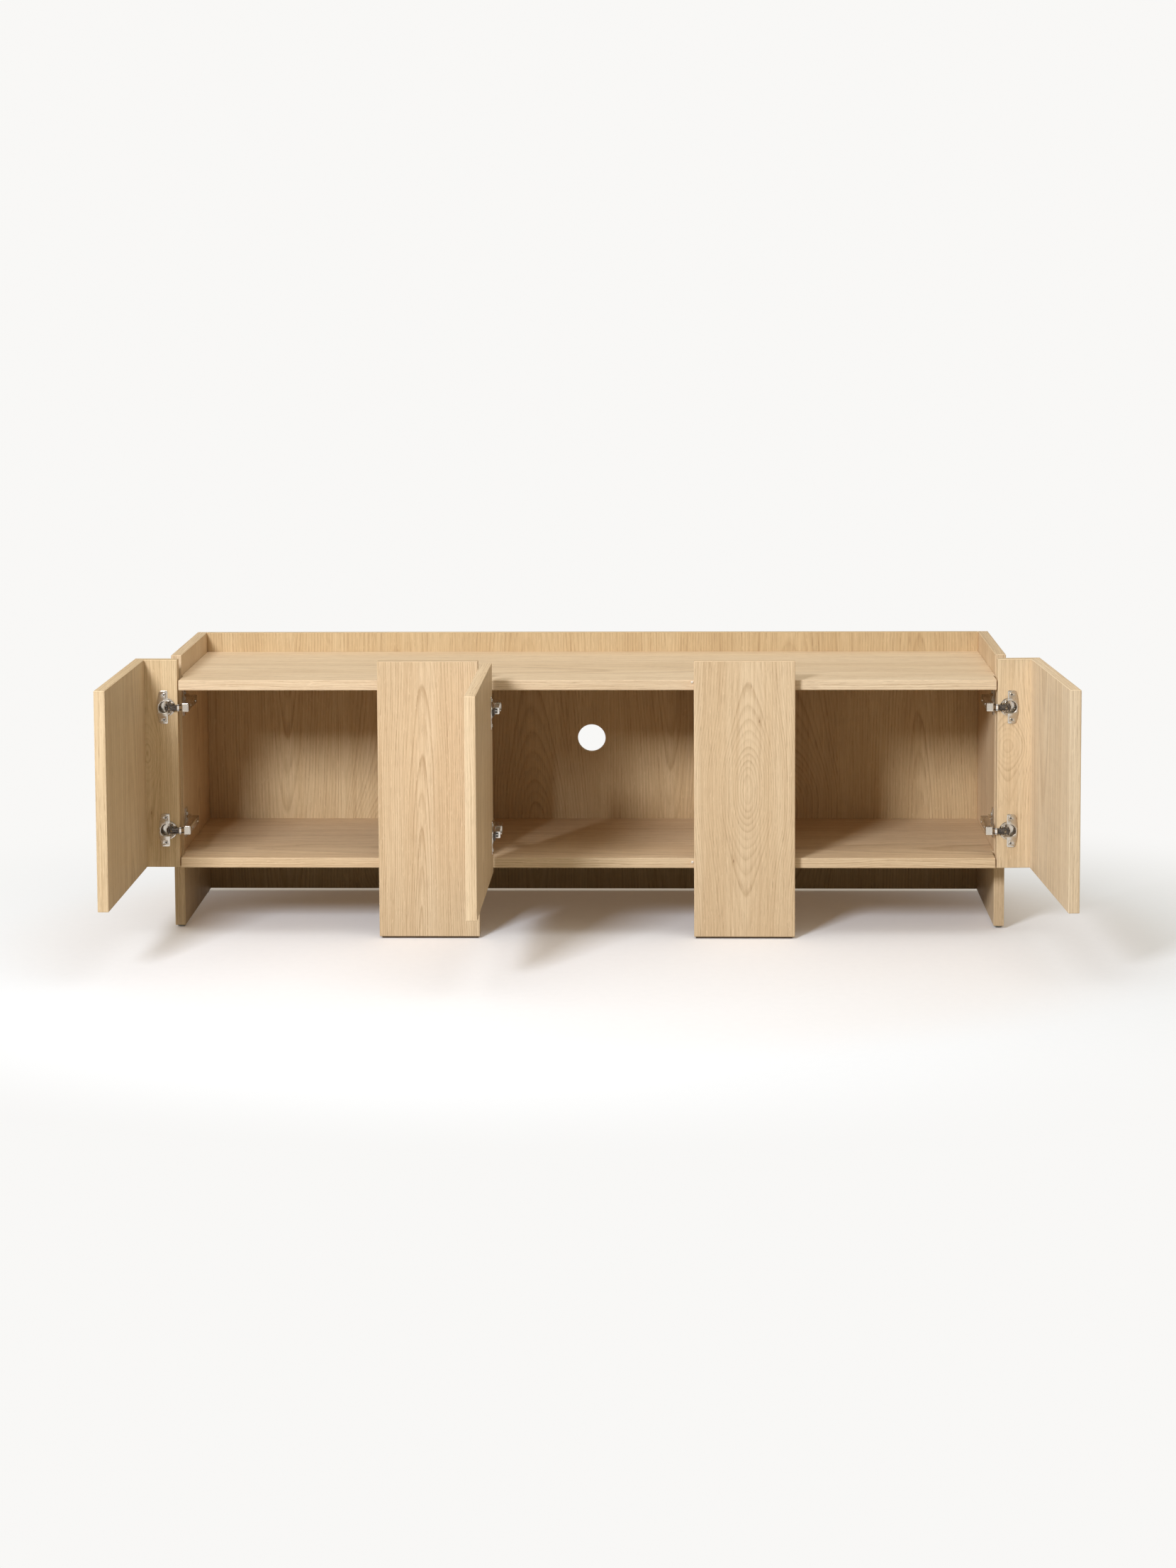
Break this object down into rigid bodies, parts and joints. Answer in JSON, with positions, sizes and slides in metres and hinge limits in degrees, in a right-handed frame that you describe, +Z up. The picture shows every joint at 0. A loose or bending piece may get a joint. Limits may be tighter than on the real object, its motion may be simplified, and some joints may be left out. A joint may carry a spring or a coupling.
{
  "type": "media cabinet",
  "caption": "Low oak media cabinet on full-height side panels and two front posts, with an inset middle door and two L-shaped corner doors on concealed hinges.",
  "frame": {"origin": "on the floor, in the front plane (outer face of the closed fronts), midway between the side panels; with the doors open as at rest this is the bottom centre of the whole box to within 10 mm", "axes": "+X to the cabinet's right seen from the front, +Y from the front to the back, +Z up"},
  "size_m": [1.7492, 0.8409, 0.532],
  "materials": {
    "oak_veneer": "clear matt lacquered light oak veneer",
    "nickel_plate": "nickel-plated pressed steel",
    "dark_steel": "oiled dark steel",
    "zinc_screw": "zinc-plated steel screws",
    "grey_glide": "translucent grey plastic",
    "brown_felt": "dark brown pad",
    "clear_bumper": "clear soft bumper"
  },
  "bodies": {
    "carcass": {"side_panel_left": "oak_veneer", "side_panel_right": "oak_veneer", "back_panel": "oak_veneer", "top_board": "oak_veneer", "bottom_board": "oak_veneer", "front_post_left": "oak_veneer", "front_post_right": "oak_veneer", "divider_left": "oak_veneer", "divider_right": "oak_veneer", "side_glides": "grey_glide", "post_pads": "brown_felt", "back_screws": "zinc_screw", "door_bumpers": "clear_bumper", "left_hinge_arms": "nickel_plate", "left_mounting_plates": "nickel_plate", "left_plate_screws": "zinc_screw", "right_hinge_arms": "nickel_plate", "right_mounting_plates": "nickel_plate", "right_plate_screws": "zinc_screw", "middle_hinge_arms": "nickel_plate", "middle_mounting_plates": "nickel_plate", "middle_plate_screws": "zinc_screw"},
    "left_linkage": {"left_hinge_links": "dark_steel", "left_link_pins": "dark_steel"},
    "left_corner_door": {"left_door_front": "oak_veneer", "left_door_return": "oak_veneer", "left_hinge_cups": "nickel_plate", "left_cup_screws": "zinc_screw"},
    "right_linkage": {"right_hinge_links": "dark_steel", "right_link_pins": "dark_steel"},
    "right_corner_door": {"right_door_front": "oak_veneer", "right_door_return": "oak_veneer", "right_hinge_cups": "nickel_plate", "right_cup_screws": "zinc_screw"},
    "middle_linkage": {"middle_swing_links": "nickel_plate", "middle_swing_pins": "dark_steel"},
    "middle_leaf": {"middle_door": "oak_veneer", "middle_hinge_cups": "nickel_plate", "middle_cup_screws": "zinc_screw", "middle_hinge_links": "dark_steel", "middle_link_pins": "dark_steel"}
  },
  "joints": [
    {"name": "left_door_hinge", "type": "hinge", "parent": "left_linkage", "child": "left_corner_door", "pos_m": [-0.79962, 0.02259, 0.3225], "axis": [0, 0, 1], "range_deg": [-7.52, 170.23]},
    {"name": "left_link_turn", "type": "hinge", "parent": "carcass", "child": "left_linkage", "pos_m": [-0.76421, 0.02815, 0.3225], "axis": [0, 0, 1], "range_deg": [-80.23, 4.02]},
    {"name": "right_door_hinge", "type": "hinge", "parent": "right_linkage", "child": "right_corner_door", "pos_m": [0.79932, 0.02096, 0.3225], "axis": [0, 0, 1], "range_deg": [-175.87, 1.88]},
    {"name": "right_link_turn", "type": "hinge", "parent": "carcass", "child": "right_linkage", "pos_m": [0.76421, 0.02815, 0.3225], "axis": [0, 0, 1], "range_deg": [-1.38, 82.87]},
    {"name": "middle_door_hinge", "type": "hinge", "parent": "carcass", "child": "middle_leaf", "pos_m": [-0.20726, -0.01133, 0.3225], "axis": [0, 0, 1], "range_deg": [-4.25, 90.75]},
    {"name": "middle_link_turn", "type": "hinge", "parent": "carcass", "child": "middle_linkage", "pos_m": [-0.169, 0.032, 0.3225], "axis": [0, 0, 1], "range_deg": [-5, 93]}
  ],
  "couplings": [
    {"joint": "left_link_turn", "follows": "left_door_hinge", "ratio": -0.46837},
    {"joint": "right_link_turn", "follows": "right_door_hinge", "ratio": -0.46837},
    {"joint": "middle_link_turn", "follows": "middle_door_hinge", "ratio": 0.99}
  ]
}
